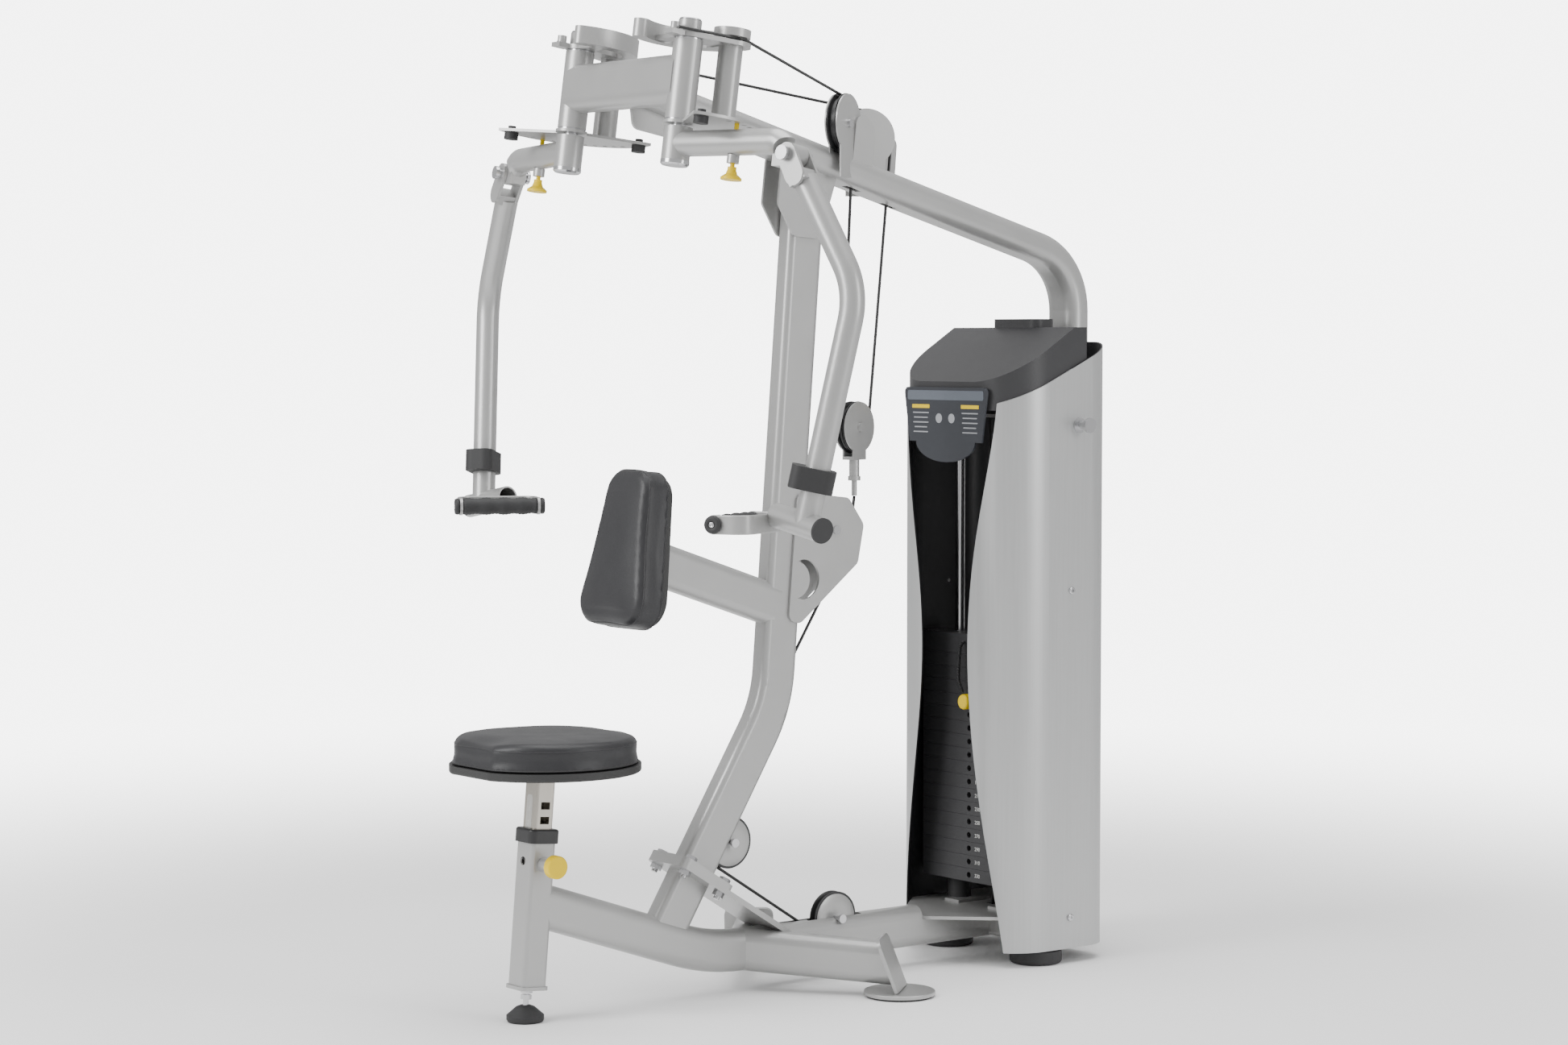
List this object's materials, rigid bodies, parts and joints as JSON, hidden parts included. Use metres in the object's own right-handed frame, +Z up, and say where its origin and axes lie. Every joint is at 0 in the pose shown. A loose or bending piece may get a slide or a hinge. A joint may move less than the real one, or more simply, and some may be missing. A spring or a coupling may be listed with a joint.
{
  "type": "pec fly and rear delt weight machine",
  "caption": "Free-standing chest fly machine: seat, back pad, two cam-driven swing arms with hanging handles, cables over pulleys to a shrouded weight stack.",
  "frame": {"origin": "centre of the footprint's bounding box, on the floor", "axes": "+X to the machine's right-hand arm, -Y towards the seat at the front, +Y towards the weight tower, +Z up"},
  "size_m": [1.121, 1.397, 1.7137],
  "materials": {
    "silver_paint": "satin",
    "nickel_plate": "polished",
    "chrome_steel": "polished",
    "black_rubber": "matte",
    "black_plastic": "satin",
    "black_steel": "satin",
    "charcoal_vinyl": "matte",
    "black_board": "matte",
    "yellow_plastic": "gloss",
    "silver_sheet": "satin",
    "charcoal_plastic": "satin",
    "printed_panel": "satin",
    "cable_sheath": "gloss"
  },
  "bodies": {
    "frame": {"base_beam": "silver_paint", "cross_feet": "silver_paint", "splice_plates": "silver_paint", "column": "silver_paint", "pad_arm": "silver_paint", "gusset_plates": "silver_paint", "top_tube": "silver_paint", "head_frame": "silver_paint", "pulley_mounts": "silver_paint", "seat_upright": "silver_paint", "seat_collar": "black_plastic", "steel_fittings": "chrome_steel", "rubber_pads": "black_rubber", "pad_board": "black_board", "pad_cushion": "charcoal_vinyl", "tower_base": "silver_paint", "tower_head": "silver_paint", "guide_rods": "chrome_steel", "shroud_right": "silver_sheet", "shroud_left": "silver_sheet", "tower_cap": "charcoal_plastic", "placard": "printed_panel", "resting_plates": "black_steel", "arm_cable": "cable_sheath", "lift_cable": "cable_sheath"},
    "seat": {"seat_post": "nickel_plate", "seat_board": "black_board", "seat_cushion": "charcoal_vinyl"},
    "seat_pin": {"seat_pin": "yellow_plastic"},
    "stack": {"lifted_plates": "black_steel", "head_plate": "black_steel", "pin_lanyard": "black_plastic"},
    "weight_pin": {"weight_pin": "yellow_plastic"},
    "float": {"floating_bracket": "silver_paint"},
    "float_wheel": {"floating_pulley": "black_plastic"},
    "cam_right": {"cam_right": "silver_paint", "cam_bumpers_right": "black_rubber"},
    "swing_right": {"swing_arm_right": "silver_paint", "pivot_pins_right": "chrome_steel"},
    "range_pin_right": {"range_pin_right": "yellow_plastic"},
    "lower_right": {"lower_arm_right": "silver_paint", "rubber_stops_right": "black_rubber", "handle_bracket_right": "silver_paint", "grip_right": "black_rubber"},
    "top_pulley_right": {"top_pulley_right": "black_plastic"},
    "cam_left": {"cam_left": "silver_paint", "cam_bumpers_left": "black_rubber"},
    "swing_left": {"swing_arm_left": "silver_paint", "pivot_pins_left": "chrome_steel"},
    "range_pin_left": {"range_pin_left": "yellow_plastic"},
    "lower_left": {"lower_arm_left": "silver_paint", "rubber_stops_left": "black_rubber", "handle_bracket_left": "silver_paint", "grip_left": "black_rubber"},
    "top_pulley_left": {"top_pulley_left": "black_plastic"},
    "mid_pulley": {"mid_pulley": "black_plastic"},
    "column_pulley": {"column_pulley": "black_plastic"},
    "base_pulley": {"base_pulley": "black_plastic"},
    "tower_low_pulley": {"tower_low_pulley": "black_plastic"},
    "tower_top_pulley": {"tower_top_pulley": "black_plastic"}
  },
  "joints": [
    {"name": "seat_height", "type": "slide", "parent": "frame", "child": "seat", "axis": [0, 0.0854, 0.9963], "range_m": [-0.075, 0.1]},
    {"name": "seat_pin_pull", "type": "slide", "parent": "frame", "child": "seat_pin", "axis": [1, 0, 0], "range_m": [-0.007, 0.006]},
    {"name": "cam_right_turn", "type": "hinge", "parent": "frame", "child": "cam_right", "pos_m": [0.161, -0.3655, 1.606], "axis": [0, 0.1392, 0.9903], "range_deg": [-80, 0]},
    {"name": "cam_left_turn", "type": "hinge", "parent": "frame", "child": "cam_left", "pos_m": [-0.161, -0.3655, 1.606], "axis": [0, 0.1392, 0.9903], "range_deg": [0, 80]},
    {"name": "arm_range_right", "type": "hinge", "parent": "cam_right", "child": "swing_right", "pos_m": [0.161, -0.3655, 1.606], "axis": [0, 0.1392, 0.9903], "range_deg": [-8.5, 34]},
    {"name": "arm_range_left", "type": "hinge", "parent": "cam_left", "child": "swing_left", "pos_m": [-0.161, -0.3655, 1.606], "axis": [0, 0.1392, 0.9903], "range_deg": [-34, 8.5]},
    {"name": "range_pin_right_pull", "type": "slide", "parent": "swing_right", "child": "range_pin_right", "axis": [0, 0.1392, 0.9903], "range_m": [-0.004, 0.0056]},
    {"name": "range_pin_left_pull", "type": "slide", "parent": "swing_left", "child": "range_pin_left", "axis": [0, 0.1392, 0.9903], "range_m": [-0.004, 0.0056]},
    {"name": "lower_arm_right_swing", "type": "hinge", "parent": "swing_right", "child": "lower_right", "pos_m": [0.4197, -0.33168, 1.46846], "axis": [-0.1994, 0.9704, -0.1364], "range_deg": [-20, 0]},
    {"name": "lower_arm_left_swing", "type": "hinge", "parent": "swing_left", "child": "lower_left", "pos_m": [-0.4197, -0.33168, 1.46846], "axis": [-0.1994, -0.9704, 0.1364], "range_deg": [-20, 0]},
    {"name": "floating_pulley_lift", "type": "slide", "parent": "frame", "child": "float", "axis": [0, 0, 1], "range_m": [0, 0.12566], "deforming": ["arm_cable"]},
    {"name": "stack_lift", "type": "slide", "parent": "frame", "child": "stack", "axis": [0, 0, 1], "range_m": [0, 0.12566], "deforming": ["lift_cable"]},
    {"name": "weight_pin_pull", "type": "slide", "parent": "stack", "child": "weight_pin", "axis": [0, -1, 0], "range_m": [0, 0.09], "deforming": ["pin_lanyard"]},
    {"name": "floating_pulley_spin", "type": "hinge", "parent": "float", "child": "float_wheel", "pos_m": [0, 0.1385, 1.007], "axis": [0.9613, 0.2756, 0], "continuous": true},
    {"name": "top_pulley_right_spin", "type": "hinge", "parent": "frame", "child": "top_pulley_right", "pos_m": [0.031, 0.0855, 1.557], "axis": [0.8923, 0.4514, 0], "range_deg": [0, 146.95]},
    {"name": "top_pulley_left_spin", "type": "hinge", "parent": "frame", "child": "top_pulley_left", "pos_m": [-0.032, 0.1905, 1.537], "axis": [0.9328, -0.3604, 0], "range_deg": [0, 146.95]},
    {"name": "mid_pulley_spin", "type": "hinge", "parent": "frame", "child": "mid_pulley", "pos_m": [0, 0.0745, 0.822], "axis": [1, 0, 0], "range_deg": [0, 138.47]},
    {"name": "column_pulley_spin", "type": "hinge", "parent": "frame", "child": "column_pulley", "pos_m": [0, -0.1545, 0.27], "axis": [1, 0, 0], "range_deg": [-167.45, 0]},
    {"name": "base_pulley_spin", "type": "hinge", "parent": "frame", "child": "base_pulley", "pos_m": [0, 0.0885, 0.109], "axis": [1, 0, 0], "range_deg": [-167.45, 0]},
    {"name": "tower_low_pulley_spin", "type": "hinge", "parent": "frame", "child": "tower_low_pulley", "pos_m": [0, 0.5225, 0.1], "axis": [1, 0, 0], "range_deg": [-211.78, 0]},
    {"name": "tower_top_pulley_spin", "type": "hinge", "parent": "frame", "child": "tower_top_pulley", "pos_m": [0, 0.5135, 1.078], "axis": [1, 0, 0], "range_deg": [-167.45, 0]}
  ],
  "couplings": [
    {"joint": "cam_left_turn", "follows": "cam_right_turn", "ratio": -1},
    {"joint": "floating_pulley_lift", "follows": "cam_right_turn", "m_per_rad": -0.09},
    {"joint": "stack_lift", "follows": "cam_right_turn", "m_per_rad": -0.09},
    {"joint": "top_pulley_right_spin", "follows": "cam_right_turn", "ratio": -1.8367},
    {"joint": "top_pulley_left_spin", "follows": "cam_right_turn", "ratio": -1.8367},
    {"joint": "mid_pulley_spin", "follows": "cam_right_turn", "ratio": -1.7308},
    {"joint": "column_pulley_spin", "follows": "cam_right_turn", "ratio": 2.093},
    {"joint": "base_pulley_spin", "follows": "cam_right_turn", "ratio": 2.093},
    {"joint": "tower_low_pulley_spin", "follows": "cam_right_turn", "ratio": 2.6471},
    {"joint": "tower_top_pulley_spin", "follows": "cam_right_turn", "ratio": 2.093}
  ]
}
